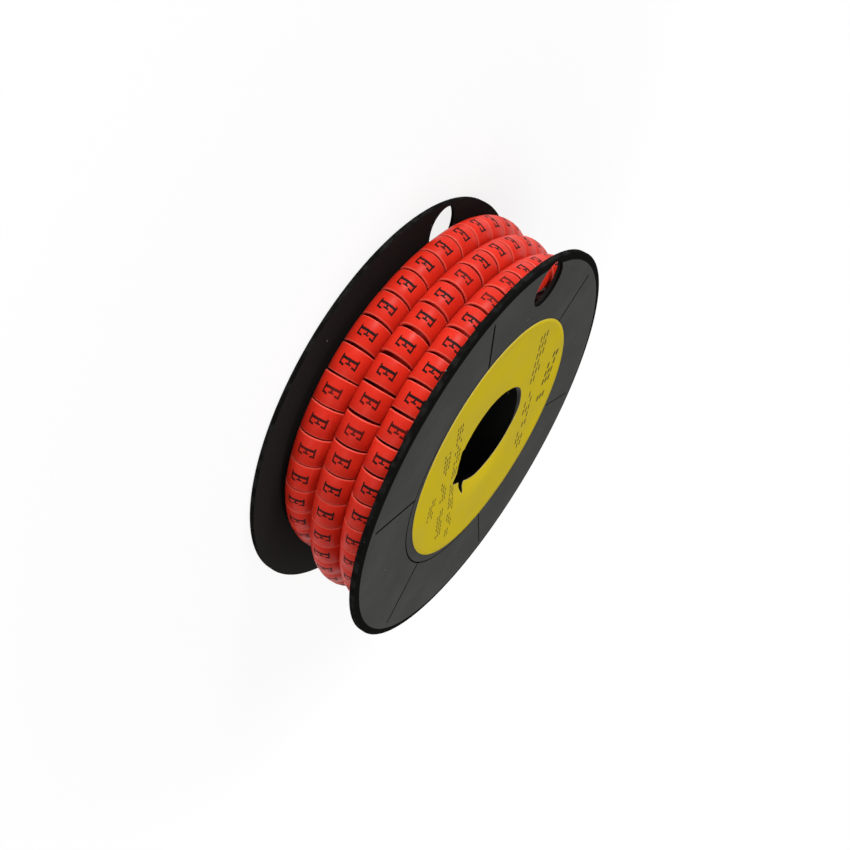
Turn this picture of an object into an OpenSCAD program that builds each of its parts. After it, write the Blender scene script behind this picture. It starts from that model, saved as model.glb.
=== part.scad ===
// Reel of pre-cut cable markers.
// A soft tube, slit into short markers that hang together by a web on the inner side,
// is wound in layers on a two-part plastic reel. The reel lies on its lower flange, with
// its axis along +Z, its centre on the Z axis and its paper label on the upper flange.

/* [Reel] */
// Diameter of both flanges
flange_d = 80; // [74:0.5:110]
// Wall of the flange discs
flange_t = 1.05; // [0.8:0.05:2]
// How far the hub face lies below the rim
dish = 0.65; // [0.2:0.05:1.2]
// Width of the flat land round the rim that the reel rests on
rim_land = 1.2; // [0.6:0.1:2.5]
// Width of the bevel between the land and the rim
rim_bevel_w = 1.4; // [0.6:0.1:2.5]
// Height of that bevel
rim_bevel_h = 0.2; // [0.1:0.05:0.5]
// Diameter of the spindle bore in both flanges
bore_d = 26.6; // [16:0.2:34]

/* [Hub] */
// Outer diameter of the drum that carries the winding
drum_d = 45.4; // [42:0.2:54]
// Wall of the drum
drum_wall = 1.4; // [0.8:0.1:2.4]
// Wall of the plug sleeve inside the drum
plug_wall = 1.3; // [0.8:0.1:2.4]
// How far the plug sleeve reaches into the drum
plug_l = 9; // [4:0.5:16]
// Chamfer that leads the plug sleeve into the drum
plug_lead = 0.6; // [0.2:0.1:0.8]
// Radial clearance between plug sleeve and drum
plug_clear = 0.1; // [0.05:0.05:0.3]
// How far the flat hub face reaches past the drum
hub_face_margin = 1.8; // [0.5:0.1:4]

/* [Flange lines] */
// Number of radial lines on each flange
line_count = 6; // [3:1:12]
// Width of the radial lines and of the ring line round the hub face
line_w = 0.3; // [0.2:0.05:0.6]
// Depth of those lines
line_depth = 0.15; // [0.1:0.05:0.3]
// Direction of the first radial line
line_start = 2; // [0:1:60]

/* [Tail hole] */
// Diameter of the hole that the strip's tail is pushed through
tail_hole_d = 8.4; // [4:0.2:10]
// Width of the bridge left between that hole and the rim
tail_bridge = 0.7; // [0.5:0.1:3]
// Direction of the hole, seen from above
tail_dir = 213.5; // [0:0.5:360]

/* [Marker strip] */
// Outer diameter of the tube
tube_d = 6.3; // [5:0.1:8]
// Wall of the tube
tube_wall = 0.55; // [0.4:0.05:1]
// Length of tube that one marker takes up
marker_pitch = 4.95; // [3.5:0.05:8]
// Width of the slit between two markers at its root, on the drum's side
slit_root = 0.25; // [0.15:0.05:0.5]
// Width of that slit at its mouth, on the outside of the winding
slit_mouth = 0.65; // [0.4:0.05:1]
// Width of the web that joins two markers
web_w = 1.2; // [0.6:0.1:1.6]
// Thickness of that web
web_t = 0.3; // [0.2:0.05:0.35]
// Turns side by side in one layer
turns = 3; // [1:1:6]
// Gap between turns, and between the winding and each flange
turn_gap = 0.1; // [0.05:0.05:0.3]
// Gap between the drum and the first layer, and between layers
layer_gap = 0.15; // [0.1:0.05:0.4]

/* [Winding path] */
// Direction where the outer layer starts to step from turn to turn
step_out_dir = 160; // [150:1:165]
// Direction where the strip starts to climb to the outer layer
climb_dir = 45; // [40:1:50]
// Direction where the climb ends and the inner layer starts to step from turn to turn
step_in_dir = -75; // [-80:1:-70]
// Direction where the inner layer has stepped, and the strip's inner end lies
home_dir = -229; // [-235:1:-215]
// How far the outer layer's first turn stands off where it is wound loosely
loose = 4.2; // [0:0.1:4.2]
// Share of it that is lost with each further turn
loose_fade = 0.3; // [0:0.05:0.5]
// Direction where the outer layer stands off most
loose_dir = -195; // [-205:1:-185]
// How far round from there the loose stretch reaches, to each side
loose_span = 85; // [75:1:95]

/* [Label] */
// Diameter of the paper label
label_d = 49.2; // [40:0.2:60]
// Diameter of the hole in the label
label_hole_d = 19.8; // [12:0.2:26]
// Thickness of the paper
label_t = 0.12; // [0.08:0.01:0.3]
// How far the label is stuck off centre, towards -X
label_shift = 3.1; // [0:0.1:5]
// How far its hole lies off centre, towards -X
label_hole_x = 3.6; // [0:0.1:5]
// How far its hole lies off centre, towards -Y
label_hole_y = 2.1; // [0:0.1:3]
// Film of glue under the label
glue_t = 0.03; // [0.02:0.01:0.1]
// Depth of the tear past the hole's edge
tear_depth = 2.4; // [0.5:0.1:4]

/* [Hidden] */
$fn = 96;
flange_r = flange_d / 2;
drum_r = drum_d / 2;
hub_face_r = drum_r + hub_face_margin;
plug_r = drum_r - drum_wall - plug_clear;
land_r = flange_r - rim_bevel_w;
turn_pitch = tube_d + turn_gap;
inner_w = turns * turn_pitch + turn_gap;
hub_z = dish + flange_t;
reel_w = inner_w + 2 * hub_z;
line_slope = atan2(dish, land_r - rim_land - hub_face_r);
line_l = norm([dish, land_r - rim_land - hub_face_r]);
tail_r = flange_r - tail_bridge - tail_hole_d / 2;
label_hole_r = label_hole_d / 2;
// Torn edge of the label's hole, as [direction, share of the tear's depth past the edge]
tear = [[-62, 0.5], [-24, 0.2], [-17, 0.9], [-5, 0.2], [20, 1.5], [11, -0.2]];
// How far cutting shapes reach past the faces they cut
cut = 1;
// How far each web reaches into the markers it joins
web_bite = 0.35;

// Winding: w is the angle in degrees walked along the strip, clockwise seen from above
full_turn = 360;
tube_r = tube_d / 2;
inner_r = drum_r + layer_gap + tube_r;
inner_top = norm([inner_r + tube_r, marker_pitch / 2]);
outer_r = inner_top + layer_gap + tube_r;
top_z = reel_w - hub_z - turn_gap - tube_r;
walk_start = -home_dir;
climb_start = turns * full_turn - climb_dir;
climb_end = turns * full_turn - step_in_dir;
walk_end = 2 * turns * full_turn - step_out_dir;

function ease(t) = t <= 0 ? 0 : t >= 1 ? 1 : (1 - cos(180 * t)) / 2;
function ramp(w, from, to) = ease((w - from) / (to - from));
function sum(list, i = 0) = i < len(list) ? list[i] + sum(list, i + 1) : 0;
// Steps made so far: down the inner layer, then back up the outer one
function steps_in(w) =
    sum([for (k = [1 : 1 : turns - 1]) let (at = k * full_turn)
        ramp(w, at - step_in_dir, at - home_dir)]);
function steps_out(w) =
    sum([for (k = [1 : 1 : turns - 1]) let (at = (turns + k) * full_turn)
        ramp(w, at - step_out_dir, at - climb_dir)]);
function path_z(w) = top_z - turn_pitch * (steps_in(w) - steps_out(w));
function turn_from(w, dir) = let (d = (w + dir) % full_turn) min(d, full_turn - d);
// How far the outer layer stands off, which fades from turn to turn and to both sides of loose_dir
function slack(w) = loose * pow(1 - loose_fade, steps_out(w))
    * ease(1 - turn_from(w, loose_dir) / loose_span);
function path_r(w) = inner_r + (outer_r - inner_r + slack(w)) * ramp(w, climb_start, climb_end);
// Travel in mm for each degree walked, as [outward, along, upward]
function travel(w) = [
    path_r(w + 0.5) - path_r(w - 0.5),
    path_r(w) * PI / 180,
    path_z(w + 0.5) - path_z(w - 0.5)
];
function after(w) = w + marker_pitch / norm(travel(w + marker_pitch / path_r(w) * 90 / PI));
function walk(w) = after(w) > walk_end ? [w] : concat([w], walk(after(w)));

module at_path(w) {
    go = travel(w);
    rotate([0, 0, -w]) translate([path_r(w), 0, path_z(w)])
        rotate([-atan2(go.z, go.y), 0, atan2(go.x, go.y)]) children();
}

module flange_section() {
    difference() {
        polygon([
            [bore_d / 2, dish],
            [hub_face_r, dish],
            [land_r - rim_land, 0],
            [land_r, 0],
            [flange_r, rim_bevel_h],
            [flange_r, flange_t],
            [land_r - rim_land, flange_t],
            [hub_face_r, hub_z],
            [bore_d / 2, hub_z]
        ]);
        translate([hub_face_r - line_w, dish - cut]) square([line_w, cut + line_depth]);
    }
}

module drum_section() {
    translate([drum_r - drum_wall, hub_z - flange_t / 2]) square([drum_wall, inner_w + flange_t / 2]);
}

module plug_section() {
    translate([plug_r - plug_wall, hub_z - flange_t / 2]) polygon([
        [0, 0],
        [plug_wall, 0],
        [plug_wall, plug_l + flange_t / 2 - plug_lead],
        [plug_wall - plug_lead, plug_l + flange_t / 2],
        [0, plug_l + flange_t / 2]
    ]);
}

// Radial lines and tail hole that both flanges have
module flange_cuts() {
    for (k = [0 : line_count - 1])
        rotate([0, 0, line_start + full_turn / line_count * k]) translate([hub_face_r, -line_w / 2, dish])
            rotate([0, line_slope, 0]) translate([0, 0, -cut]) cube([line_l, line_w, cut + line_depth]);
    rotate([0, 0, tail_dir]) translate([tail_r, 0, -cut]) cylinder(d = tail_hole_d, h = hub_z + 2 * cut);
}

module reel_half() {
    difference() {
        rotate_extrude() union() {
            flange_section();
            children();
        }
        flange_cuts();
    }
}

module lower_flange() {
    color("#2a2a29") reel_half() drum_section();
}

module upper_flange() {
    color("#2a2a29") translate([0, 0, reel_w]) mirror([0, 0, 1]) reel_half() plug_section();
}

// Half the length of a marker, x outwards from the tube's middle, in a winding of radius r
function half_l(r, x) = marker_pitch * (1 + x / r) / 2
    - (slit_root * (tube_r - x) + slit_mouth * (tube_r + x)) / tube_d / 2;

// Straight length of tube whose ends lean towards the middle of the winding
module marker(w) {
    r = path_r(w);
    reach = tube_r + cut;
    at_path(w) intersection() {
        rotate([90, 0, 0]) difference() {
            cylinder(d = tube_d, h = 2 * marker_pitch, center = true);
            cylinder(d = tube_d - 2 * tube_wall, h = 2 * marker_pitch + cut, center = true);
        }
        linear_extrude(2 * reach, center = true) polygon([
            [-reach, -half_l(r, -reach)],
            [reach, -half_l(r, reach)],
            [reach, half_l(r, reach)],
            [-reach, half_l(r, -reach)]
        ]);
    }
}

// Uncut part of the tube's wall, on the side that faces the drum
module web(w) {
    corner = norm([path_r(w), marker_pitch / 2]) - path_r(w);
    at_path(w) translate([corner + tube_wall / 2 - tube_r, 0, 0])
        cube([web_t, slit_root + 2 * web_bite, web_w], center = true);
}

module marker_strip() {
    ends = walk(walk_start);
    color("#c42c1d") union() {
        for (i = [1 : len(ends) - 1]) marker((ends[i - 1] + ends[i]) / 2);
        for (i = [1 : len(ends) - 2]) web(ends[i]);
    }
}

// Paper that follows the flange's face, cut to the label's outline
module face_label() {
    top = reel_w - dish + glue_t;
    color("#c9b227") difference() {
        intersection() {
            rotate_extrude() polygon([
                [0, top],
                [hub_face_r, top],
                [land_r - rim_land, top + dish],
                [land_r - rim_land, top + dish + label_t],
                [hub_face_r, top + label_t],
                [0, top + label_t]
            ]);
            translate([-label_shift, 0, 0]) cylinder(d = label_d, h = reel_w + cut);
        }
        translate([-label_hole_x, -label_hole_y, 0]) {
            cylinder(r = label_hole_r, h = reel_w + cut);
            linear_extrude(reel_w + cut) polygon(concat([[0, 0]],
                [for (t = tear) (label_hole_r + t[1] * tear_depth) * [cos(t[0]), sin(t[0])]]));
        }
    }
}

lower_flange();
upper_flange();
marker_strip();
face_label();
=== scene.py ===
"""Dresses a reel of pre-cut cable markers: black flanges, a red printed strip and a paper label.

Lengths are in millimetres and angles in degrees, in the frame of the solids, until a mesh is made.
"""

import logging
import math
from dataclasses import dataclass, field
from enum import Enum
from functools import reduce

import bpy
import numpy as np
from mathutils import Matrix

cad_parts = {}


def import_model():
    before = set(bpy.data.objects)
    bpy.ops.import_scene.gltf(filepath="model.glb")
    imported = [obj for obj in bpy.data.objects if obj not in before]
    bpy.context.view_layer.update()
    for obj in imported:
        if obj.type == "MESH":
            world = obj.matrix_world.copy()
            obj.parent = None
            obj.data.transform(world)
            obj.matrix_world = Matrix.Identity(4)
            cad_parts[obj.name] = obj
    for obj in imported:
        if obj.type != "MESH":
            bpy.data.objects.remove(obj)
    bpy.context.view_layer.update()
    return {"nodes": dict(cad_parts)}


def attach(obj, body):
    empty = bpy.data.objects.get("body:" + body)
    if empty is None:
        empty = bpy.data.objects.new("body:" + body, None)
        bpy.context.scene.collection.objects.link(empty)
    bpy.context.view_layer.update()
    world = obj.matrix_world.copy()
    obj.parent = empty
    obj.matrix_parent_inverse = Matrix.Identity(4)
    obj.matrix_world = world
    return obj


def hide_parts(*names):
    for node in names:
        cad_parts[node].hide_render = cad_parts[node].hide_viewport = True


LOG = logging.getLogger("marker_reel")
MM = 0.001
BODY = "root"
NO_PRINT = 99.0
# Print coordinate of the rounded lips, which take a painted highlight
LIP_HIGHLIGHT_PRINT = 50.0


class Slot(Enum):
    """Two material slot names, which nothing in this script uses."""

    MARKER = "marker_pvc"
    LABEL = "label_paper"


class Edge(Enum):
    """Which way a soft mask opens as its number grows."""

    RISING = (0.0, 1.0)
    FALLING = (1.0, 0.0)


class Val:
    """A number that varies over a surface: operators on it add Math nodes."""

    def __init__(self, sheet: "Sheet", socket: bpy.types.NodeSocket) -> None:
        """Keep the sheet that makes nodes and the socket that carries the number."""
        self.sheet = sheet
        self.socket = socket

    def maths(self, operation: str, *operands: "Val | float") -> "Val":
        """Add one Math node.

        Args:
            operation: Blender's name of the operation.
            operands: Its inputs in order.

        Returns:
            The node's result.
        """
        node = self.sheet.node("ShaderNodeMath", {"operation": operation}, dict(enumerate(operands)))
        return Val(self.sheet, node.outputs[0])

    def __add__(self, other: "Val | float") -> "Val":
        """Sum."""
        return self.maths("ADD", self, other)

    def __radd__(self, other: float) -> "Val":
        """Sum with a plain number first."""
        return self.maths("ADD", other, self)

    def __sub__(self, other: "Val | float") -> "Val":
        """Difference."""
        return self.maths("SUBTRACT", self, other)

    def __rsub__(self, other: float) -> "Val":
        """Difference with a plain number first."""
        return self.maths("SUBTRACT", other, self)

    def __mul__(self, other: "Val | float") -> "Val":
        """Product."""
        return self.maths("MULTIPLY", self, other)

    def __rmul__(self, other: float) -> "Val":
        """Product with a plain number first."""
        return self.maths("MULTIPLY", other, self)

    def __truediv__(self, other: "Val | float") -> "Val":
        """Quotient."""
        return self.maths("DIVIDE", self, other)

    def low(self, other: "Val | float") -> "Val":
        """Smaller of two numbers, which is where two masks meet."""
        return self.maths("MINIMUM", self, other)

    def high(self, other: "Val | float") -> "Val":
        """Larger of two numbers, which is the union of two masks."""
        return self.maths("MAXIMUM", self, other)

    def root(self) -> "Val":
        """Square root."""
        return self.maths("SQRT", self)

    def size(self) -> "Val":
        """Distance from nought."""
        return self.maths("ABSOLUTE", self)

    def floor(self) -> "Val":
        """Whole part."""
        return self.maths("FLOOR", self)

    def part(self) -> "Val":
        """Part after the point."""
        return self.maths("FRACT", self)

    def mask(self, start: float, end: float, edge: Edge = Edge.RISING) -> "Val":
        """Soft step between two numbers.

        Args:
            start: Where the step begins.
            end: Where it ends.
            edge: Whether the mask opens or closes.

        Returns:
            A number from 0 to 1.
        """
        low, high = edge.value
        inputs = {"Value": self, "From Min": start, "From Max": end, "To Min": low, "To Max": high}
        node = self.sheet.node("ShaderNodeMapRange", {"interpolation_type": "SMOOTHSTEP"}, inputs)
        return Val(self.sheet, node.outputs["Result"])


class Sheet:
    """A node tree that is written as Python expressions."""

    def __init__(self, tree: bpy.types.NodeTree) -> None:
        """Start from an empty tree."""
        self.tree = tree
        self.tree.nodes.clear()

    def node(self, kind: str, settings: dict | None = None, inputs: dict | None = None) -> bpy.types.Node:
        """Add a node.

        Args:
            kind: Blender's type of the node.
            settings: Properties that are set before the sockets.
            inputs: Values or links by socket name or number.

        Returns:
            The new node.
        """
        made = self.tree.nodes.new(kind)
        for name, value in (settings or {}).items():
            setattr(made, name, value)
        for key, value in (inputs or {}).items():
            socket = made.inputs[key]
            if isinstance(value, Val):
                value = value.socket
            if isinstance(value, bpy.types.NodeSocket):
                self.tree.links.new(value, socket)
            else:
                socket.default_value = value
        return made

    def axes(self, socket: bpy.types.NodeSocket) -> tuple[Val, Val, Val]:
        """Split a vector into its three numbers."""
        split = self.node("ShaderNodeSeparateXYZ", None, {0: socket})
        return tuple(Val(self, out) for out in split.outputs)

    def place(self) -> bpy.types.NodeSocket:
        """Object coordinates, in metres."""
        return self.node("ShaderNodeTexCoord").outputs["Object"]

    def print_map(self) -> bpy.types.NodeSocket:
        """The piece's own print map, in millimetres."""
        return self.node("ShaderNodeUVMap", {"uv_map": "print"}).outputs["UV"]

    def noise(self, at: bpy.types.NodeSocket, grain: float, detail: float = 3.0) -> Val:
        """Soft noise from 0 to 1.

        Args:
            at: Coordinates in metres.
            grain: Size of its patches in millimetres.
            detail: Octaves of finer noise.

        Returns:
            The noise.
        """
        inputs = {"Vector": at, "Scale": 1 / (grain * MM), "Detail": detail}
        return Val(self, self.node("ShaderNodeTexNoise", None, inputs).outputs["Fac"])

    def chance(self, column: Val, row: float) -> Val:
        """One random number from 0 to 1 for each pair of whole numbers."""
        pair = self.node("ShaderNodeCombineXYZ", None, {0: column, 1: row})
        settings = {"noise_dimensions": "2D"}
        white = self.node("ShaderNodeTexWhiteNoise", settings, {"Vector": pair.outputs[0]})
        return Val(self, white.outputs["Value"])

    def blend(self, share: Val, first: object, second: object) -> bpy.types.NodeSocket:
        """Mix two colours, each a socket or four numbers, by a share of the second."""
        inputs = {0: share, 6: first, 7: second}
        return self.node("ShaderNodeMix", {"data_type": "RGBA"}, inputs).outputs[2]

    def bump(self, height: Val, depth: float) -> bpy.types.NodeSocket:
        """Turn a height from 0 to 1 into a normal, where 1 stands for a depth in millimetres."""
        inputs = {"Height": height, "Distance": depth * MM, "Strength": 1.0}
        return self.node("ShaderNodeBump", None, inputs).outputs["Normal"]


def new_finish(name: str) -> tuple[bpy.types.Material, Sheet]:
    """Make an empty node material.

    Args:
        name: Name of the material.

    Returns:
        The material and its sheet.
    """
    material = bpy.data.materials.new(name)
    material.use_nodes = True
    return material, Sheet(material.node_tree)


def close_finish(sheet: Sheet, varying: dict, steady: dict) -> None:
    """End a sheet in one Principled shader.

    Args:
        sheet: The sheet to end.
        varying: Links to the shader's sockets by name.
        steady: Constant values by socket name.
    """
    shader = sheet.node("ShaderNodeBsdfPrincipled", None, {**steady, **varying})
    sheet.node("ShaderNodeOutputMaterial", None, {"Surface": shader.outputs["BSDF"]})


def grey(level: float) -> tuple[float, float, float, float]:
    """A neutral colour."""
    return (level, level, level, 1.0)


@dataclass(frozen=True)
class Stroke:
    """One straight stroke: a box, sheared by lean in width for each unit of height."""

    left: float
    right: float
    bottom: float
    top: float
    lean: float = 0.0

    def depth(self, u: Val, v: Val) -> Val:
        """How far a point lies inside the stroke, in millimetres: the least distance to its four sides."""
        if self.lean:
            u = u - (v - (self.bottom + self.top) / 2) * self.lean
        return (u - self.left).low(self.right - u).low((v - self.bottom).low(self.top - v))


@dataclass(frozen=True)
class ReelPlastic:
    """Black moulded plastic: a matt grain on the outer faces, painted shade on the rims, lines, deep bore and
    inner faces, painted light in the bore's mouth, and dust.
    """

    matt: tuple = (0.033, 0.033, 0.031, 1.0)
    scuffed: tuple = (0.048, 0.047, 0.044, 1.0)
    # Painted shade: the inner faces are the same plastic as the outer faces, coloured darker where they lie
    # in shade
    inside: tuple = (0.016, 0.016, 0.015, 1.0)
    # Painted light: a pale grey on the top of the bore's wall, where it is lit
    mouth: tuple = (0.12, 0.115, 0.11, 1.0)
    # Painted shade: a near-black copy of the plastic for the rims, their bevels, the sunk lines and the
    # bore's deeper wall
    edge: tuple = (0.0042, 0.0040, 0.0038, 1.0)
    rubbed: tuple = (0.013, 0.014, 0.013, 1.0)
    dust: tuple = (0.20, 0.19, 0.18, 1.0)
    middle_z: float = 11.35
    hub_face: float = 10.7
    hub_face_r: float = 24.5
    rise: float = 0.65 / 12.9
    land: float = 11.35
    land_r: float = 38.6
    rim_r: float = 40.0
    bore_r: float = 13.3
    rub_w: float = 0.5
    # Painted shade: strokes that darken and widen the sunk lines where they show
    line_shade_stroke: Stroke = Stroke(24.5, 37.4, -0.24, 0.24)
    line_shade_dirs: tuple = (2.0, 182.0, 242.0, 302.0)
    dust_cell: float = 2.6
    dust_size: float = 0.06
    dust_share: float = 0.36
    roughness: float = 0.6
    sheen_matt: float = 0.15
    sheen_rest: float = 0.02
    sheen_rough: float = 0.42
    cloud: float = 9.0
    rub: float = 2.2
    grain: float = 0.22
    grain_depth: float = 0.012

    def line_shade(self, x: Val, y: Val) -> Val:
        """Painted shade along the sunk lines that show, each a stroke that points away from the axis."""
        turns = [(math.cos(math.radians(way)), math.sin(math.radians(way))) for way in self.line_shade_dirs]
        depths = [self.line_shade_stroke.depth(x * cos + y * sin, y * cos - x * sin) for cos, sin in turns]
        return reduce(Val.high, depths).mask(-0.05, 0.05)

    def zones(self, radius: Val, side: Val) -> tuple[Val, Val, Val, Val]:
        """Where the matt grain, the moulded lines, the rim and the bore's mouth are.

        Args:
            radius: Distance from the reel's axis, in millimetres.
            side: Distance from the reel's middle plane.

        Returns:
            Masks of the outer faces, from the depth below the face's own height, which is flat to the hub's
            edge and then rises to the land; of the sunk lines in them, for painted shade; of the rim, its
            bevel and the bore's deeper wall, for painted shade; and of the bore's mouth, for painted light.
        """
        face = (self.hub_face + (radius - self.hub_face_r).high(0.0) * self.rise).low(self.land)
        below = face - side
        outer = below.mask(0.5, 0.6, Edge.FALLING)
        # Painted shade: the rim and its bevel take the near-black colour
        rim_shade = radius.mask(self.land_r - 0.05, self.land_r + 0.05) * outer
        rim_shade = rim_shade.high(radius.mask(self.rim_r - 0.06, self.rim_r - 0.02))
        outer = outer * (1 - rim_shade)
        # The bore's wall: painted light near its top, painted shade below 1.5 mm
        bore = radius.mask(self.bore_r + 0.02, self.bore_r + 0.1, Edge.FALLING)
        deep = below.mask(1.5, 1.7)
        # Painted shade: the sunk lines, found from their depth, take the near-black colour
        line = below.mask(0.03, 0.09) * outer * radius.mask(self.bore_r + 0.2, self.bore_r + 0.4)
        return outer, line, rim_shade.high(bore * deep), bore * (1 - deep)

    def make(self) -> bpy.types.Material:
        """Build the material.

        Returns:
            The material, with specks where a Voronoi cell's random share is low and its middle is near.
        """
        material, sheet = new_finish("reel_plastic_black")
        at = sheet.place()
        x, y, z = sheet.axes(at)
        radius = (x * x + y * y).root() * (1 / MM)
        matt, line, rim_shade, mouth = self.zones(radius, (z * (1 / MM) - self.middle_z).size())
        # Painted shade strokes darken and widen the sunk lines
        line = line.high(self.line_shade(x * (1 / MM), y * (1 / MM)) * matt)
        cloud = sheet.noise(at, self.cloud)
        fine = sheet.noise(at, self.grain, 2.0)
        rub = radius.mask(self.rim_r - self.rub_w, self.rim_r) * sheet.noise(at, self.rub).mask(0.42, 0.66)
        cell = sheet.node("ShaderNodeTexVoronoi", None, {"Vector": at, "Scale": 1 / (self.dust_cell * MM)})
        share, reach, _ = sheet.axes(cell.outputs["Color"])
        chosen = share.mask(self.dust_share - 0.02, self.dust_share, Edge.FALLING)
        beyond = Val(sheet, cell.outputs["Distance"]) - reach * self.dust_size
        speck = beyond.mask(0.0, 0.02, Edge.FALLING) * chosen
        # Painted shade: the inner faces take a darker copy of the plastic
        base = sheet.blend(matt, self.inside, self.matt)
        base = sheet.blend(cloud.mask(0.35, 0.75) * matt * 0.5, base, self.scuffed)
        # Painted light on the bore's mouth
        base = sheet.blend(mouth, base, self.mouth)
        # Painted shade on the rims, the bore's deeper wall and the sunk lines
        base = sheet.blend(rim_shade.high(line), base, self.edge)
        base = sheet.blend(rub * 0.8, base, self.rubbed)
        base = sheet.blend(speck * 0.8, base, self.dust)
        varying = {
            "Base Color": base,
            "Roughness": self.roughness + (cloud - 0.5) * 0.16 + speck * 0.2,
            "Coat Weight": self.sheen_rest + matt * (1 - line) * (self.sheen_matt + (cloud - 0.5) * 0.06),
            "Normal": sheet.bump(fine, self.grain_depth),
        }
        close_finish(sheet, varying, {"Specular IOR Level": 0.0, "Coat Roughness": self.sheen_rough})
        return material


@dataclass(frozen=True)
class MarkerVinyl:
    """Soft red vinyl with one slab-serif letter printed on the crest of each marker, and a painted highlight
    on the rounded lips.
    """

    colour: tuple = (0.56, 0.021, 0.009, 1.0)
    deep: tuple = (0.45, 0.013, 0.006, 1.0)
    # Painted highlight: a paler red on the rounded lips of the cut ends, where they catch light
    lip_highlight: tuple = (0.66, 0.085, 0.060, 1.0)
    ink: tuple = (0.004, 0.002, 0.002, 1.0)
    letter: tuple = (
        Stroke(-0.62, -0.16, -1.50, 1.50),
        Stroke(-0.92, 0.80, 1.27, 1.55),
        Stroke(0.48, 0.82, 0.70, 1.55, 0.14),
        Stroke(-0.16, 0.42, -0.14, 0.14),
        Stroke(0.24, 0.52, -0.46, 0.46),
        Stroke(-0.92, 0.86, -1.55, -1.27),
        Stroke(0.54, 0.90, -1.55, -0.62, 0.18),
    )
    ink_cover: float = 0.99
    ink_edge: float = 0.22
    ink_ragged: float = 0.16
    ink_patch: float = 0.4
    ink_fade: float = 14.0
    cloud: float = 6.0
    roughness: float = 0.42
    grain: float = 0.35
    grain_depth: float = 0.008
    specular: float = 0.10

    def make(self) -> bpy.types.Material:
        """Build the material.

        Returns:
            The material, inked where the deepest stroke, roughened by noise, is deeper than nothing.
        """
        material, sheet = new_finish("marker_vinyl_red")
        at = sheet.place()
        u, v, _ = sheet.axes(sheet.print_map())
        depth = reduce(Val.high, [stroke.depth(u, v) for stroke in self.letter])
        ragged = depth + (sheet.noise(at, self.ink_edge) - 0.5) * self.ink_ragged
        inked = ragged.mask(-0.05, 0.03) * sheet.noise(at, self.ink_patch).mask(0.10, 0.34)
        inked = inked * (self.ink_cover - sheet.noise(at, self.ink_fade, 1.0).mask(0.52, 0.74) * 0.16)
        cloud = sheet.noise(at, self.cloud)
        # Painted highlight on the rounded lips
        lip_highlight = u.mask(LIP_HIGHLIGHT_PRINT - 2, LIP_HIGHLIGHT_PRINT - 1) * u.mask(LIP_HIGHLIGHT_PRINT + 1, LIP_HIGHLIGHT_PRINT + 2, Edge.FALLING)
        base = sheet.blend(cloud.mask(0.3, 0.75) * 0.6, self.colour, self.deep)
        base = sheet.blend(lip_highlight * 0.8, base, self.lip_highlight)
        base = sheet.blend(inked, base, self.ink)
        varying = {
            "Base Color": base,
            "Roughness": self.roughness + (cloud - 0.5) * 0.2 + inked * 0.25,
            "Normal": sheet.bump(sheet.noise(at, self.grain, 2.0), self.grain_depth),
        }
        close_finish(sheet, varying, {"Specular IOR Level": self.specular})
        return material


@dataclass(frozen=True)
class PrintLine:
    """One row of plain dashes on the label, at three heights about a straight middle line."""

    start: tuple[float, float]
    end: tuple[float, float]
    height: float
    marks: int
    pen: float
    seed: int
    dash: float = 0.72
    lost: float = 0.25
    blank: float = 0.105

    def strokes(self, advance: float) -> list[Stroke]:
        """Three dashes, one above the other, of which chance keeps some in each mark."""
        wide, tall, pen = advance * self.dash, self.height / 2, self.pen
        return [Stroke(0.0, wide, low, low + pen) for low in (-tall, -pen / 2, tall - pen)]

    def ink(self, sheet: Sheet, x: Val, y: Val) -> Val:
        """Where the row is inked.

        Args:
            sheet: The label's sheet.
            x: Place across the label, in millimetres.
            y: Place up the label, in millimetres.

        Returns:
            A mask: the union of the dashes that each mark keeps, with a mark left out now and then, between
            the row's ends.
        """
        run = (self.end[0] - self.start[0], self.end[1] - self.start[1])
        length = math.hypot(*run)
        cos, sin = run[0] / length, run[1] / length
        along = (x - self.start[0]) * cos + (y - self.start[1]) * sin
        across = (y - self.start[1]) * cos - (x - self.start[0]) * sin
        advance = length / self.marks
        mark = along / advance
        column = mark.floor() + self.seed
        place = mark.part() * advance
        drawn = []
        for number, stroke in enumerate(self.strokes(advance)):
            kept = sheet.chance(column, float(number)).mask(self.lost - 0.01, self.lost + 0.01)
            drawn.append(stroke.depth(place, across).mask(-0.04, 0.04) * kept)
        inside = along.mask(0.0, 0.05) * along.mask(length - 0.05, length, Edge.FALLING)
        filled = sheet.chance(column, float(len(drawn))).mask(self.blank - 0.005, self.blank + 0.005)
        return reduce(Val.high, drawn) * inside * filled


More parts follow.
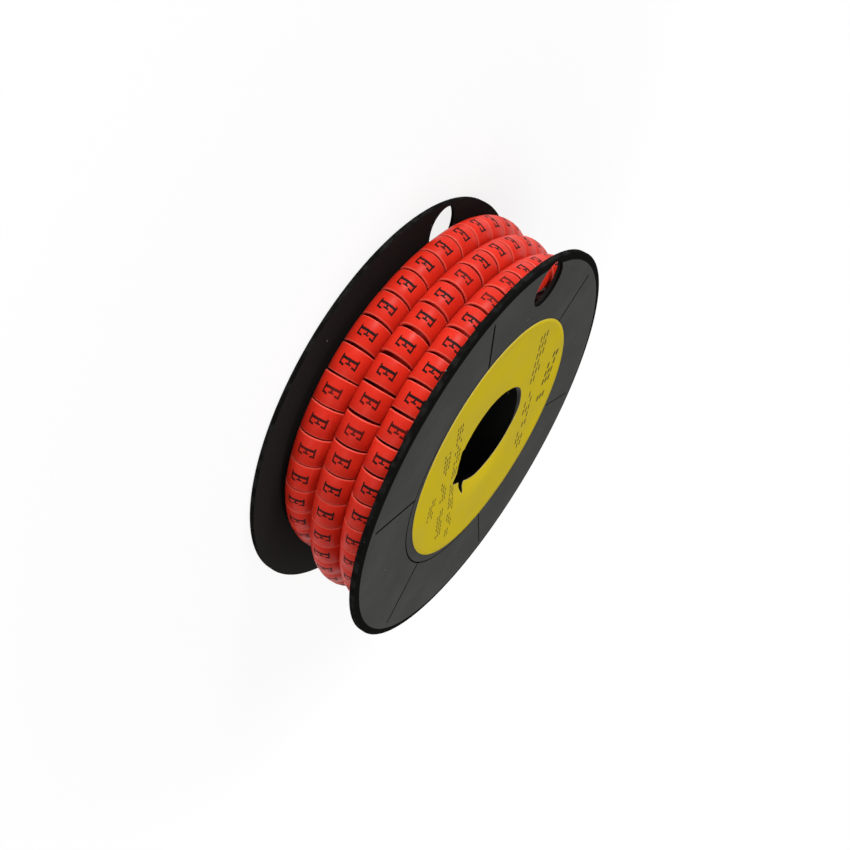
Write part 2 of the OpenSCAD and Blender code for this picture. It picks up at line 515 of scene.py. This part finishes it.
@dataclass(frozen=True)
class LabelPaper:
    """Yellow uncoated paper with rows of dark print."""

    colour: tuple = (0.58, 0.44, 0.008, 1.0)
    faded: tuple = (0.52, 0.40, 0.028, 1.0)
    # Partly the paper's cut core, partly painted shade: a dull colour on the cut edge and underside, darkened
    # for the shade at the label's edge
    core_and_shade: tuple = (0.42, 0.36, 0.16, 1.0)
    ink: tuple = (0.030, 0.022, 0.018, 1.0)
    rows: tuple = (
        PrintLine((-23.5, 7.6), (-14.3, 16.4), 3.0, 6, 0.7, 17),
        PrintLine((-24.0, -4.6), (-3.6, 20.8), 2.6, 15, 0.46, 37),
        PrintLine((-1.8, -20.1), (17.8, 8.0), 1.7, 25, 0.34, 71),
        PrintLine((3.4, -18.2), (18.7, 3.0), 1.7, 20, 0.34, 113),
        PrintLine((11.1, -12.8), (16.1, -7.3), 1.7, 6, 0.34, 151),
    )
    roughness: float = 0.66
    cloud: float = 12.0
    fibre: float = 0.5
    fibre_depth: float = 0.02
    specular: float = 0.02

    def make(self) -> bpy.types.Material:
        """Build the material.

        Returns:
            The material, with fibres as fine noise in colour and height.
        """
        material, sheet = new_finish("label_paper_yellow")
        at = sheet.place()
        x, y, _ = sheet.axes(sheet.print_map())
        inked = reduce(Val.high, [row.ink(sheet, x, y) for row in self.rows])
        fibre = sheet.noise(at, self.fibre, 5.0)
        cloud = sheet.noise(at, self.cloud)
        base = sheet.blend(cloud.mask(0.3, 0.7) * 0.7 + fibre * 0.25, self.colour, self.faded)
        base = sheet.blend(inked * (0.72 + fibre * 0.3), base, self.ink)
        # The cut edge and underside take the core colour, darkened as painted shade
        base = sheet.blend(x.mask(NO_PRINT - 2, NO_PRINT - 1), base, self.core_and_shade)
        rough = self.roughness + (fibre - 0.5) * 0.2
        varying = {"Base Color": base, "Roughness": rough, "Normal": sheet.bump(fibre, self.fibre_depth)}
        close_finish(sheet, varying, {"Specular IOR Level": self.specular})
        return material


def ease(share: np.ndarray) -> np.ndarray:
    """Half a cosine wave from 0 to 1, level outside."""
    return (1 - np.cos(np.pi * np.clip(share, 0.0, 1.0))) / 2


def apart(walked: np.ndarray, direction: float) -> np.ndarray:
    """Angle from 0 to 180 between where the strip has walked to, clockwise, and a direction."""
    ahead = np.mod(walked + direction, 360)
    return np.minimum(ahead, 360 - ahead)


def grid_quads(rows: int, columns: int, closed_rows: bool) -> np.ndarray:
    """Faces of a grid whose columns close into a loop.

    Args:
        rows: Number of loops.
        columns: Points in each loop.
        closed_rows: Whether the last loop joins the first.

    Returns:
        Four vertex numbers for each face, row by row.
    """
    row = np.arange(rows if closed_rows else rows - 1)[:, None]
    column = np.arange(columns)[None, :]
    after, beside = (row + 1) % rows, (column + 1) % columns
    here, there = row * columns, after * columns
    corners = [here + column, there + column, there + beside, here + beside]
    return np.stack(np.broadcast_arrays(*corners), axis=-1).reshape(-1, 4)


def outward(points: np.ndarray, quads: np.ndarray) -> np.ndarray:
    """Turn the faces of a closed shape outwards.

    Args:
        points: Vertices.
        quads: Faces.

    Returns:
        The faces, reversed if the volume that they sum to is negative.
    """
    a, b, c, d = (points[quads[:, k]] for k in range(4))
    volume = np.einsum("ij,ij->", a, np.cross(b, c)) + np.einsum("ij,ij->", a, np.cross(c, d))
    return quads if volume > 0 else quads[:, ::-1]


def make_piece(
    name: str, points: np.ndarray, quads: np.ndarray, print_map: np.ndarray | None
) -> bpy.types.Object:
    """Make a smooth mesh object at the origin.

    Args:
        name: Name of the piece.
        points: Vertices in millimetres.
        quads: Faces.
        print_map: Print coordinates for each corner of each face, or none.

    Returns:
        The object, linked to the scene.
    """
    mesh = bpy.data.meshes.new(name)
    mesh.vertices.add(len(points))
    mesh.vertices.foreach_set("co", (points * MM).astype(np.float32).ravel())
    mesh.loops.add(quads.size)
    mesh.loops.foreach_set("vertex_index", quads.astype(np.int32).ravel())
    mesh.polygons.add(len(quads))
    mesh.polygons.foreach_set("loop_start", np.arange(0, quads.size, 4, dtype=np.int32))
    mesh.polygons.foreach_set("use_smooth", np.ones(len(quads), dtype=bool))
    if print_map is not None:
        layer = mesh.uv_layers.new(name="print")
        layer.data.foreach_set("uv", print_map.astype(np.float32).ravel())
    mesh.update(calc_edges=True)
    mesh.validate()
    piece = bpy.data.objects.new(name, mesh)
    bpy.context.scene.collection.objects.link(piece)
    return piece


@dataclass
class Reel:
    """The two black halves, whose solids are shown as they are."""

    halves: tuple = ("lower_flange", "upper_flange")
    finish: ReelPlastic = field(default_factory=ReelPlastic)

    def dress(self, nodes: dict) -> None:
        """Give both halves their plastic.

        Args:
            nodes: The frame's objects by node.
        """
        material = self.finish.make()
        for name in self.halves:
            nodes[name].data.materials.clear()
            nodes[name].data.materials.append(material)
            LOG.info("%s dressed in %s", name, material.name)


@dataclass
class WindingPath:
    """The strip's way round the drum: down the inner layer, up to the outer one and back."""

    drum_r: float = 22.7
    tube_r: float = 3.15
    layer_gap: float = 0.15
    turn_pitch: float = 6.4
    top_z: float = 17.75
    marker_pitch: float = 4.95
    turns: int = 3
    step_out_dir: float = 160.0
    climb_dir: float = 45.0
    step_in_dir: float = -75.0
    home_dir: float = -229.0
    loose: float = 4.2
    loose_fade: float = 0.3
    loose_dir: float = -195.0
    loose_span: float = 85.0

    @property
    def inner_r(self) -> float:
        """Radius of the inner layer's middle."""
        return self.drum_r + self.layer_gap + self.tube_r

    @property
    def outer_r(self) -> float:
        """Radius of the outer layer's middle, clear of the inner markers' corners."""
        return math.hypot(self.inner_r + self.tube_r, self.marker_pitch / 2) + self.layer_gap + self.tube_r

    def ramp(self, walked: np.ndarray, start: float, end: float) -> np.ndarray:
        """Ease from 0 to 1 between two angles: half a cosine wave."""
        return ease((walked - start) / (end - start))

    def steps_out(self, walked: np.ndarray) -> np.ndarray:
        """Steps that the outer layer has climbed: one eased step in each of its turns but the last."""
        climbed = np.zeros_like(walked)
        for turn in range(1, self.turns):
            outer = 360 * (self.turns + turn)
            climbed = climbed + self.ramp(walked, outer - self.step_out_dir, outer - self.climb_dir)
        return climbed

    def slack(self, walked: np.ndarray) -> np.ndarray:
        """How far the outer layer stands off: most in one direction, less on each later turn."""
        most = self.loose * (1 - self.loose_fade) ** self.steps_out(walked)
        return most * ease(1 - apart(walked, self.loose_dir) / self.loose_span)

    def radius(self, walked: np.ndarray) -> np.ndarray:
        """Distance of the strip's middle from the axis: inner radius, eased to the outer and its slack."""
        start, end = 360 * self.turns - self.climb_dir, 360 * self.turns - self.step_in_dir
        outside = self.outer_r - self.inner_r + self.slack(walked)
        return self.inner_r + outside * self.ramp(walked, start, end)

    def height(self, walked: np.ndarray) -> np.ndarray:
        """Height of the strip's middle: one pitch down for each inner step, one up for each outer step."""
        steps = self.steps_out(walked)
        for turn in range(1, self.turns):
            inner = 360 * turn
            steps = steps - self.ramp(walked, inner - self.step_in_dir, inner - self.home_dir)
        return self.top_z + self.turn_pitch * steps

    def travel(self, walked: np.ndarray) -> np.ndarray:
        """Outward, along and upward travel for each degree walked."""
        rise = self.height(walked + 0.5) - self.height(walked - 0.5)
        spread = self.radius(walked + 0.5) - self.radius(walked - 0.5)
        return np.stack([spread, np.radians(self.radius(walked)), rise], axis=-1)

    def cuts(self) -> np.ndarray:
        """Angles walked at the slits: each is one marker's pitch after the last."""
        walked, end = -self.home_dir, 720 * self.turns - self.step_out_dir
        found = []
        while walked <= end:
            found.append(walked)
            middle = np.array(walked + math.degrees(self.marker_pitch / self.radius(np.array(walked))) / 2)
            walked += self.marker_pitch / float(np.linalg.norm(self.travel(middle)))
        return np.array(found)

    def frames(self, walked: np.ndarray) -> tuple[np.ndarray, np.ndarray, np.ndarray, np.ndarray]:
        """Middles and directions of the strip.

        Args:
            walked: Angles walked, clockwise seen from above.

        Returns:
            The middle, and the unit vectors along the strip, outwards from the reel and up beside the strip.
        """
        turn = np.radians(-walked)
        zero, one = np.zeros_like(turn), np.ones_like(turn)
        spoke = np.stack([np.cos(turn), np.sin(turn), zero], axis=-1)
        round_about = np.stack([np.sin(turn), -np.cos(turn), zero], axis=-1)
        up = np.stack([zero, zero, one], axis=-1)
        middle = spoke * self.radius(walked)[:, None] + up * self.height(walked)[:, None]
        go = self.travel(walked)
        along = spoke * go[:, :1] + round_about * go[:, 1:2] + up * go[:, 2:]
        along /= np.linalg.norm(along, axis=1, keepdims=True)
        out = spoke - along * np.sum(spoke * along, axis=1, keepdims=True)
        out /= np.linalg.norm(out, axis=1, keepdims=True)
        return middle, along, out, np.cross(along, out)


@dataclass
class MarkerStrip:
    """The wound strip: short lengths of tube that a web on the drum's side holds together.

    Each marker's skew varies by an angle, up to a slope of skew_most, and its lift and the slip of its print
    by up to twice their own size. How tight a slit is changes slowly, over a run of tight_run markers.
    """

    path: WindingPath = field(default_factory=WindingPath)
    wall: float = 0.55
    slit_root: float = 0.10
    slit_shut: float = 0.10
    slit_open: float = 0.68
    gape_dir: float = -110.0
    gape_span: float = 50.0
    gape_gain: float = 16.0
    print_shift: float = 0.75
    edge_round: float = 0.20
    web_w: float = 1.2
    web_t: float = 0.3
    web_bite: float = 0.35
    skew: float = 0.5
    skew_most: float = 0.015
    lift: float = 0.02
    slip: float = 0.06
    tight_run: int = 9
    tight_most: float = 1.2
    tight_gain: float = 0.18
    seen_from: float = 0.5
    facets_seen: int = 36
    facets_hidden: int = 14
    seed: int = 12
    finish: MarkerVinyl = field(default_factory=MarkerVinyl)

    def section(self) -> tuple[np.ndarray, np.ndarray, np.ndarray]:
        """Loop round a marker's wall.

        Returns:
            For each point, which end it belongs to, its distance from that end's plane, and its depth under
            the outer face. The outer corners are rounded by a point on the arc's middle.
        """
        e, near = self.edge_round, self.edge_round * 0.3
        end = np.array([-1, -1, -1, 0, 1, 1, 1, 1, 1, -1, -1], dtype=float)
        inset = np.array([0, near, e, 0, e, near, 0, 0, e / 2, e / 2, 0])
        wall, bore = self.wall, self.wall - e / 2
        depth = np.array([e, near, 0, 0, 0, near, e, bore, wall, wall, bore])
        return end, inset, depth

    def gape(self, walked: np.ndarray) -> np.ndarray:
        """Width of a slit's mouth: widest in one direction, and over a wider span on each later turn."""
        span = self.gape_span + self.gape_gain * self.path.steps_out(walked)
        open_share = ease(1 - apart(walked, self.gape_dir) / span)
        return self.slit_shut + (self.slit_open - self.slit_shut) * open_share

    def markers(self, walked: np.ndarray, facets: int) -> tuple[np.ndarray, np.ndarray, np.ndarray]:
        """Lengths of tube with leaning ends.

        Args:
            walked: Angles walked at the markers' middles.
            facets: Facets round each tube.

        Returns:
            Points, faces and print map. A point lies at its section's depth round the tube's middle, and
            along the tube at the end plane's distance, which grows with its distance outwards; the tube
            bends with the winding, and each marker sits a little askew.
        """
        path, chance = self.path, np.random.default_rng(self.seed + facets)
        count, tube_r = len(walked), path.tube_r
        middle, along, out, side = (vector[:, None, None, :] for vector in path.frames(walked))
        end, inset, depth = self.section()
        around = np.linspace(-np.pi, np.pi, facets + 1)
        radius = path.radius(walked)[:, None, None]
        ring = (tube_r - depth)[None, None, :]
        x = ring * np.cos(around[None, :-1, None])
        s = ring * np.sin(around[None, :-1, None])
        run = np.ones(self.tight_run) / math.sqrt(self.tight_run)
        tight = np.convolve(chance.normal(0.0, 1.0, count + self.tight_run - 1), run, "valid")
        tight = tight.clip(-self.tight_most, self.tight_most)
        mouth = (self.gape(walked) * (1.0 - self.tight_gain * tight))[:, None, None]
        slit = (self.slit_root * (tube_r - x) + mouth * (tube_r + x)) / (2 * tube_r)
        half = path.marker_pitch * (1 + x / radius) / 2 - slit / 2
        y = end * (half - inset)
        skew = chance.normal(0.0, 1.0, (2, count, 1, 1)) * np.radians(self.skew)
        yaw, tilt = skew.clip(-self.skew_most, self.skew_most)
        lift = chance.normal(0.0, self.lift, (count, 1, 1)).clip(-2 * self.lift, 2 * self.lift)
        x_bent = x - y * y / (2 * radius) + tilt * y
        s_bent = s + lift + yaw * y
        y_bent = y - yaw * s - tilt * x
        points = middle + along * y_bent[..., None] + out * x_bent[..., None] + side * s_bent[..., None]
        quads = grid_quads(facets, len(end), True)
        starts = np.arange(count)[:, None, None] * facets * len(end)
        return points.reshape(-1, 3), (quads + starts).reshape(-1, 4), self.print_map(y, around, chance)

    def print_map(self, y: np.ndarray, around: np.ndarray, chance: np.random.Generator) -> np.ndarray:
        """Print coordinates of each face's corners.

        Args:
            y: Place along the tube, by marker, facet and section point.
            around: Angles round the tube, its crest at nought, with the closing one.
            chance: Source of each marker's small misprint.

        Returns:
            Reading direction and height in millimetres on the outer face, and places far off on the rounded
            lips, which take a painted highlight, and elsewhere.
        """
        count = len(y)
        _, _, depth = self.section()
        outer = depth <= 0
        # The rounded lips, which take the painted highlight
        lip_highlight = depth <= self.edge_round
        printed = outer & np.roll(outer, -1)
        unprinted = np.where(lip_highlight & np.roll(lip_highlight, -1), LIP_HIGHLIGHT_PRINT, NO_PRINT)
        looped = np.concatenate([y, y[:, :1]], axis=1)
        looped = np.concatenate([looped, looped[:, :, :1]], axis=2)
        slip = chance.normal(0.0, self.slip, (2, count, 1, 1)).clip(-2 * self.slip, 2 * self.slip)
        u = slip[0] - looped
        v = np.broadcast_to(around[None, :, None] * self.path.tube_r - self.print_shift, u.shape) + slip[1]
        both = np.stack([u, v], axis=-1)
        corners = [both[:, :-1, :-1], both[:, 1:, :-1], both[:, 1:, 1:], both[:, :-1, 1:]]
        mapped = np.stack(corners, axis=3)
        wide = (None, None, slice(None), None, None)
        return np.where(printed[wide], mapped, unprinted[wide]).reshape(-1, 4, 2)

    def webs(self, walked: np.ndarray) -> tuple[np.ndarray, np.ndarray, np.ndarray]:
        """Uncut wall between neighbours: a small bar at each slit, on the drum's side.

        Args:
            walked: Angles walked at the slits.

        Returns:
            Points, faces and print map.
        """
        middle, along, out, side = (vector[:, None, :] for vector in self.path.frames(walked))
        radius = self.path.radius(walked)
        corner = np.hypot(radius, self.path.marker_pitch / 2) - radius + self.wall / 2 - self.path.tube_r
        signs = np.array([[-1, -1], [1, -1], [1, 1], [-1, 1]]) / 2
        x = corner[:, None] + signs[None, :, 0] * self.web_t
        s = np.broadcast_to(signs[None, :, 1] * self.web_w, x.shape)
        half = self.slit_root / 2 + self.web_bite
        loops = [middle + out * x[..., None] + side * s[..., None] + along * shift for shift in (-half, half)]
        points = np.concatenate(loops, axis=1)
        caps = np.array([[3, 2, 1, 0], [4, 5, 6, 7]])
        quads = np.concatenate([grid_quads(2, 4, False), caps])
        quads = outward(points[0], quads)[None] + np.arange(len(walked))[:, None, None] * 8
        return points.reshape(-1, 3), quads.reshape(-1, 4), np.full((quads.size // 4, 4, 2), NO_PRINT)

    def build(self) -> bpy.types.Object:
        """Join the markers of both layers and their webs into one piece.

        Returns:
            The strip.
        """
        cuts = self.path.cuts()
        middles = (cuts[:-1] + cuts[1:]) / 2
        seen = self.path.radius(middles) > self.path.inner_r + self.seen_from
        parts = [
            self.markers(middles[seen], self.facets_seen),
            self.markers(middles[~seen], self.facets_hidden),
            self.webs(cuts[1:-1]),
        ]
        starts = np.cumsum([0] + [len(points) for points, _, _ in parts[:-1]])
        turned = [outward(points, quads) for points, quads, _ in parts]
        maps = [
            printed if faces is quads else printed[:, ::-1]
            for faces, (_, quads, printed) in zip(turned, parts)
        ]
        piece = make_piece(
            "wound_marker_strip",
            np.concatenate([points for points, _, _ in parts]),
            np.concatenate([faces + start for faces, start in zip(turned, starts)]),
            np.concatenate(maps),
        )
        LOG.info("%s has %d markers, %d of them seen", piece.name, len(middles), int(seen.sum()))
        return piece

    def dress(self, piece: bpy.types.Object) -> None:
        """Give the strip its vinyl and its place in the frame."""
        piece.data.materials.append(self.finish.make())
        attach(piece, BODY)
        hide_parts("marker_strip")


@dataclass
class FaceLabel:
    """The round paper label on the upper flange, off centre, with a torn hole over the bore."""

    outer_d: float = 50.0
    outer_at: tuple[float, float] = (-2.5, 0.6)
    hole_d: float = 20.6
    hole_at: tuple[float, float] = (-2.5, -1.6)
    paper: float = 0.12
    under_z: float = 22.08
    hub_face_r: float = 24.5
    rise: float = 0.65 / 12.9
    bore_r: float = 13.3
    sag: float = 0.02
    scallop: tuple = ((-68.0, 0.0), (-66.0, 0.7), (-55.0, -0.2), (-38.0, -0.8), (-28.0, -0.75), (-23.0, 1.0))
    split: tuple = ((3.0, -0.4), (11.0, 2.3), (19.0, -0.6), (45.0, 0.0))
    trim: tuple = ((112.0, 0.0), (140.0, 0.8), (172.0, 0.8), (205.0, 0.0))
    ragged: float = 0.05
    lean: float = 11.0
    lean_before: float = 22.0
    lean_after: float = 60.0
    lean_reach: float = 2.6
    lean_end: float = 9.0
    flap_dir: float = -5.0
    flap_span: float = 18.0
    flap_reach: float = 3.2
    flap_drop: float = 0.12
    spokes: int = 480
    rings: int = 28
    ring_growth: float = 1.4
    seed: int = 5
    finish: LabelPaper = field(default_factory=LabelPaper)

    def torn_edge(self, turn: np.ndarray) -> np.ndarray:
        """Distance from the hole's middle to the paper's edge.

        Args:
            turn: Spokes' own directions about the hole's middle, in degrees.

        Returns:
            The hole's radius, moved by the tear's and the trim's depth between their corners, with a
            ragged grain on the tear.
        """
        at, depth = np.array(self.scallop + self.split + self.trim).T
        grain = np.random.default_rng(self.seed).normal(0.0, self.ragged, len(turn))
        torn = (turn > self.scallop[0][0]) & (turn < self.split[-1][0])
        return self.hole_d / 2 + np.interp(turn, at, depth, period=360) + np.where(torn, grain, 0.0)

    def direction(self, turn: np.ndarray, reach: np.ndarray) -> np.ndarray:
        """Direction in which a spoke's point lies.

        Args:
            turn: Spokes' own directions.
            reach: Distances from the hole's middle.

        Returns:
            The spoke's direction, swung with the split beside it: more the further out, up to the split's
            tip, and straight again well past it.
        """
        tip_dir, tip_depth = self.split[1]
        off = turn - tip_dir
        beside = ease(1 - np.where(off < 0, -off / self.lean_before, off / self.lean_after))
        tip = self.hole_d / 2 + tip_depth
        out = ease(1 - (tip - reach) / self.lean_reach) * ease(1 - (reach - tip) / self.lean_end)
        return turn + self.lean * beside * out

    def lie(self, x: np.ndarray, y: np.ndarray) -> np.ndarray:
        """Height of the paper's underside: on the hub face, up the cone past it, sagging over the bore."""
        radius = np.hypot(x, y)
        free = np.clip(self.bore_r - radius, 0.0, None)
        return self.under_z + np.clip(radius - self.hub_face_r, 0.0, None) * self.rise - self.sag * free**2

    def droop(self, turn: np.ndarray, reach: np.ndarray) -> np.ndarray:
        """How far the torn corner hangs: with the square of its way in from the root of the flap."""
        root = self.hole_d / 2 + self.flap_reach
        way = np.clip((root - reach) / self.flap_reach, 0.0, None)
        return self.flap_drop * ease(1 - np.abs(turn - self.flap_dir) / self.flap_span) * way**2

    def sheet(self) -> tuple[np.ndarray, np.ndarray, np.ndarray]:
        """The label: spokes from the torn hole to the outer circle, looped over both faces.

        Returns:
            Points, faces and print map.
        """
        turn = np.linspace(-180.0, 180.0, self.spokes, endpoint=False)
        ray = np.stack([np.cos(np.radians(turn)), np.sin(np.radians(turn))], axis=-1)
        start = np.array(self.hole_at) - np.array(self.outer_at)
        along = ray @ start
        outer = -along + np.sqrt(along**2 + (self.outer_d / 2) ** 2 - start @ start)
        share = np.linspace(0.0, 1.0, self.rings) ** self.ring_growth
        reach = self.torn_edge(turn)[:, None] * (1 - share) + outer[:, None] * share
        at = np.radians(self.direction(turn[:, None], reach))
        x = self.hole_at[0] + reach * np.cos(at)
        y = self.hole_at[1] + reach * np.sin(at)
        under = self.lie(x, y) - self.droop(turn[:, None], reach)
        top = np.stack([x, y, under + self.paper], axis=-1)
        bottom = np.stack([x, y, under], axis=-1)
        points = np.concatenate([top, bottom[:, ::-1]], axis=1).reshape(-1, 3)
        quads = grid_quads(self.spokes, 2 * self.rings, True)
        return points, quads, self.print_map(points, quads)

    def print_map(self, points: np.ndarray, quads: np.ndarray) -> np.ndarray:
        """Plan coordinates on the upper face, and a place far off on the edges and the underside."""
        upper = ((quads % (2 * self.rings)) < self.rings).all(axis=1)
        return np.where(upper[:, None, None], points[quads][..., :2], NO_PRINT)

    def build(self) -> bpy.types.Object:
        """Make the label's mesh.

        Returns:
            The label.
        """
        points, quads, printed = self.sheet()
        turned = outward(points, quads)
        printed = printed if turned is quads else printed[:, ::-1]
        piece = make_piece("paper_face_label", points, turned, printed)
        LOG.info("%s has %d faces", piece.name, len(piece.data.polygons))
        return piece

    def dress(self, piece: bpy.types.Object) -> None:
        """Give the label its paper and its place in the frame."""
        piece.data.materials.append(self.finish.make())
        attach(piece, BODY)
        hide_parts("face_label")


@dataclass(frozen=True)
class Lamp:
    """A square soft light, in metres, that looks at the reel's middle."""

    name: str
    at: tuple[float, float, float]
    size: float
    watts: float


@dataclass
class Studio:
    """White floor and surround, soft lamps and the camera."""

    middle: tuple[float, float, float] = (0.0, 0.0, 0.0113)
    floor_half: float = 4.0
    floor_z: float = -0.05
    floor_colour: tuple = (0.92, 0.92, 0.92, 1.0)
    floor_glow: float = 0.85
    floor_near: float = 0.05
    floor_far: float = 0.12
    surround: float = 0.14
    lamps: tuple = (
        Lamp("key_lamp", (-0.62, -0.50, 0.11), 0.2, 6.9),
        Lamp("fill_lamp", (0.40, -0.72, 0.16), 0.3, 2.0),
        Lamp("top_lamp", (0.26, -0.12, 0.86), 0.5, 5.2),
    )
    camera_at: tuple[float, float, float] = (0.0, -0.180448, 0.071917)
    camera_back: tuple[float, float, float] = (-0.0714, -0.95456, 0.28934)
    camera_up: tuple[float, float, float] = (-0.85921, -0.08848, -0.50391)
    focal: float = 42.397
    sensor: float = 36.0
    shift_y: float = 0.0882

    def seen(self, sheet: Sheet) -> Val:
        """1 for rays that show the background: those from the camera, a reflection or a clear body."""
        light = sheet.node("ShaderNodeLightPath").outputs
        named = ("Is Camera Ray", "Is Glossy Ray", "Is Transmission Ray")
        camera, glossy, through = (Val(sheet, light[name]) for name in named)
        return camera.high(glossy).high(through)

    def build_world(self) -> None:
        """A world that is white behind the reel and gives a plain level of light elsewhere."""
        world = bpy.data.worlds.new("white_surround")
        world.use_nodes = True
        bpy.context.scene.world = world
        sheet = Sheet(world.node_tree)
        seen = self.seen(sheet)
        strength = self.surround + seen * (1 - self.surround)
        back = sheet.node("ShaderNodeBackground", None, {"Color": grey(1.0), "Strength": strength})
        sheet.node("ShaderNodeOutputWorld", None, {"Surface": back.outputs[0]})

    def build_floor(self) -> None:
        """A white floor that keeps the reel's soft shadow."""
        h, z = self.floor_half / MM, self.floor_z
        points = np.array([[-h, -h, z], [h, -h, z], [h, h, z], [-h, h, z]])
        floor = make_piece("floor", points, np.array([[0, 1, 2, 3]]), None)
        material, sheet = new_finish("floor_white")
        matt = sheet.node("ShaderNodeBsdfDiffuse", None, {"Color": self.floor_colour})
        glow = sheet.node("ShaderNodeEmission", None, {"Color": grey(1.0), "Strength": 1.0})
        x, y, _ = sheet.axes(sheet.place())
        far = (x * x + y * y).mask(self.floor_near**2, self.floor_far**2)
        share = self.seen(sheet) * (self.floor_glow + far * (1 - self.floor_glow))
        both = sheet.node("ShaderNodeMixShader", None, {0: share, 1: matt.outputs[0], 2: glow.outputs[0]})
        sheet.node("ShaderNodeOutputMaterial", None, {"Surface": both.outputs[0]})
        floor.data.materials.append(material)

    def place(self, thing: bpy.types.Object, at: np.ndarray, back: np.ndarray, up: np.ndarray) -> None:
        """Stand a lamp or the camera at a point, its local Z backwards and its Y as near up as it can be."""
        back = back / np.linalg.norm(back)
        right = np.cross(up, back)
        right /= np.linalg.norm(right)
        turn = np.eye(4)
        turn[:3, :3] = np.stack([right, np.cross(back, right), back], axis=1)
        turn[:3, 3] = at
        thing.matrix_world = Matrix(turn.tolist())
        bpy.context.scene.collection.objects.link(thing)

    def build_lamps(self) -> None:
        """Square area lamps round the reel."""
        for lamp in self.lamps:
            data = bpy.data.lights.new(lamp.name, "AREA")
            data.shape = "SQUARE"
            data.size = lamp.size
            data.energy = lamp.watts
            at = np.array(lamp.at)
            holder = bpy.data.objects.new(lamp.name, data)
            self.place(holder, at, at - np.array(self.middle), np.array([0.0, 0.0, 1.0]))

    def build_camera(self) -> None:
        """The camera at the photograph's angle."""
        data = bpy.data.cameras.new("photo_camera")
        data.sensor_width = self.sensor
        data.lens = self.focal
        data.shift_y = self.shift_y
        data.clip_start = 0.01
        camera = bpy.data.objects.new("photo_camera", data)
        self.place(camera, np.array(self.camera_at), np.array(self.camera_back), np.array(self.camera_up))
        bpy.context.scene.camera = camera

    def build(self) -> None:
        """Set up the view, the light and the floor."""
        bpy.context.scene.view_settings.view_transform = "Standard"
        self.build_world()
        self.build_floor()
        self.build_lamps()
        self.build_camera()
        LOG.info("studio has %d lamps", len(self.lamps))


def main() -> None:
    """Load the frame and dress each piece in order."""
    logging.basicConfig(level=logging.INFO, format="%(name)s: %(message)s")
    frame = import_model()
    Studio().build()
    Reel().dress(frame["nodes"])
    strip = MarkerStrip()
    strip.dress(strip.build())
    label = FaceLabel()
    label.dress(label.build())
    bpy.context.view_layer.update()


if __name__ == "__main__":
    main()
